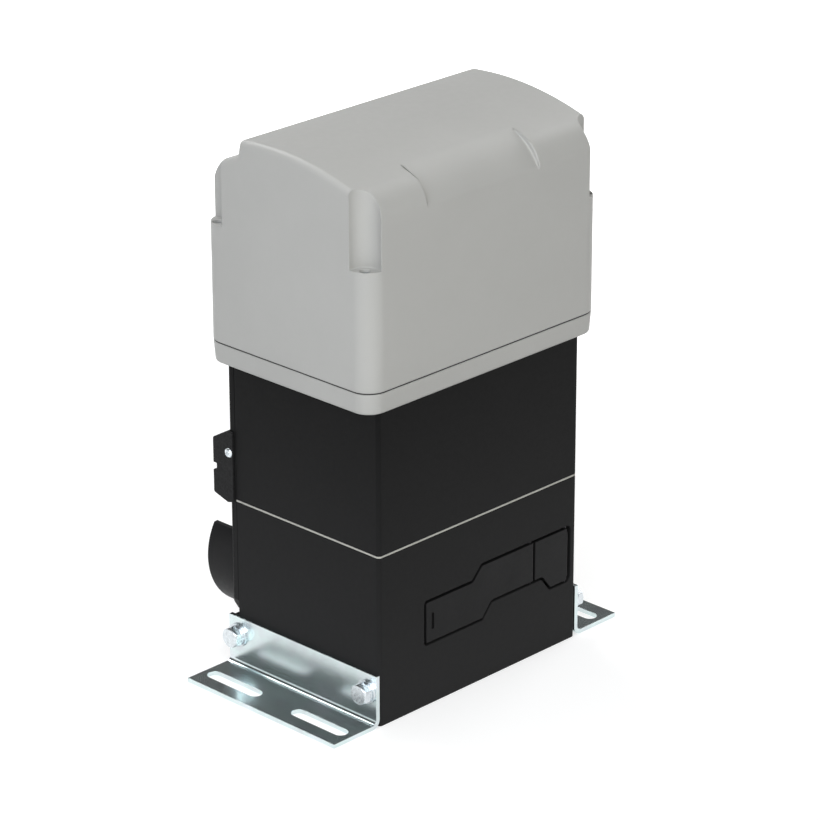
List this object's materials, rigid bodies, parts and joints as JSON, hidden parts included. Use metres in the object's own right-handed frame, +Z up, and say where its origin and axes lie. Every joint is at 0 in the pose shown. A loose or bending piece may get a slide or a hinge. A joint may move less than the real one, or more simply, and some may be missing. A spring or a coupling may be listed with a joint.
{
  "type": "sliding gate motor",
  "caption": "Sliding gate motor: black castings with a worm drive, rear rack pinion in a guard, release lever, slotted foot brackets and a grey fluted lift-off cover.",
  "frame": {"origin": "centre of the underside of the castings, on the surface that the object is bolted to", "axes": "+Z up, -Y out of the front face with the release lever, X along the long side; the pinion's shaft points along +Y, out of the back"},
  "size_m": [0.347, 0.2208, 0.483],
  "materials": {
    "black_casting": "satin powder coat, fine grain",
    "black_plastic": "fine texture",
    "cover_grey": "satin, moulded",
    "gasket": "pressed sheet",
    "rubber": "matt",
    "zinc_plate": "bright zinc plating",
    "zinc_screws": "zinc plated",
    "steel": "ground",
    "cast_iron": "machined",
    "bronze": "machined bronze",
    "copper": "varnished winding",
    "laminations": "stacked sheets",
    "friction": "clutch lining",
    "board_green": "printed circuit board",
    "terminal_green": "moulded",
    "capacitor_white": "moulded can"
  },
  "bodies": {
    "root": {"gearbox_housing": "black_casting", "housing_gasket": "gasket", "motor_housing": "black_casting", "housing_screws": "zinc_screws", "back_plate": "black_casting", "back_plate_screws": "zinc_screws", "pinion_guard": "black_plastic", "guard_screws": "zinc_screws", "sensor_housing": "black_plastic", "sensor_element": "board_green", "sensor_screw": "zinc_screws", "bracket_left": "zinc_plate", "bracket_right": "zinc_plate", "bracket_bolts": "zinc_screws", "bracket_spring_washers": "zinc_screws", "bracket_flat_washers": "zinc_screws", "output_bearings": "steel", "shaft_seal": "rubber", "worm_bearings": "steel", "stator_core": "laminations", "stator_windings": "copper", "motor_end_shield": "cast_iron", "motor_bearing": "steel", "oil_plugs": "zinc_screws", "lever_pin": "steel", "lock_cover_pin": "steel", "cover_base": "cover_grey", "cover_base_screws": "zinc_screws", "cover_seal": "rubber", "board_bracket": "zinc_plate", "control_board": "board_green", "board_standoffs": "steel", "terminal_blocks": "terminal_green", "relays": "black_plastic", "transformer_core": "laminations", "transformer_coil": "copper", "motor_capacitor": "capacitor_white", "cable_grommet": "rubber"},
    "output_shaft": {"output_shaft": "steel", "wheel_hub": "cast_iron", "worm_wheel": "bronze", "drive_keys": "steel", "drive_pinion": "steel", "pinion_key": "steel", "pinion_washer": "zinc_screws", "pinion_screw": "zinc_screws"},
    "rotor": {"worm_shaft": "steel", "clutch_plates": "steel", "clutch_discs": "friction", "clutch_spring": "steel", "clutch_nut": "steel", "clutch_drum": "cast_iron", "motor_shaft": "steel", "rotor_core": "laminations"},
    "release_lever": {"release_lever": "black_plastic"},
    "lock_cover": {"lock_cover": "black_plastic"},
    "lock_barrel": {"lock_barrel": "zinc_screws"},
    "release_plunger": {"release_plunger": "steel"},
    "cover": {"cover": "cover_grey", "cover_screws": "zinc_screws"}
  },
  "joints": [
    {"name": "output_shaft_turn", "type": "hinge", "parent": "root", "child": "output_shaft", "pos_m": [-0.06, 0, 0.088], "axis": [0, 1, 0], "continuous": true},
    {"name": "rotor_turn", "type": "hinge", "parent": "root", "child": "rotor", "pos_m": [0, 0, 0.088], "axis": [0, 0, 1], "continuous": true},
    {"name": "release_lever_hinge", "type": "hinge", "parent": "root", "child": "release_lever", "pos_m": [0.0645, -0.0845, 0.08], "axis": [0, 0, 1], "range_deg": [0, 90]},
    {"name": "release_plunger_slide", "type": "slide", "parent": "root", "child": "release_plunger", "axis": [0, -1, 0], "range_m": [0, 0.006]},
    {"name": "lock_cover_hinge", "type": "hinge", "parent": "root", "child": "lock_cover", "pos_m": [0.1084, -0.0853, 0.08], "axis": [0, 0, 1], "range_deg": [0, 100]},
    {"name": "lock_barrel_turn", "type": "hinge", "parent": "root", "child": "lock_barrel", "pos_m": [0.091, -0.0755, 0.084], "axis": [0, 1, 0], "range_deg": [0, 90]},
    {"name": "cover_lift", "type": "slide", "parent": "root", "child": "cover", "axis": [0, 0, 1], "range_m": [0, 0.25]}
  ],
  "couplings": [
    {"joint": "rotor_turn", "follows": "output_shaft_turn", "ratio": 30},
    {"joint": "release_plunger_slide", "follows": "release_lever_hinge", "m_per_rad": 0.0038197}
  ]
}
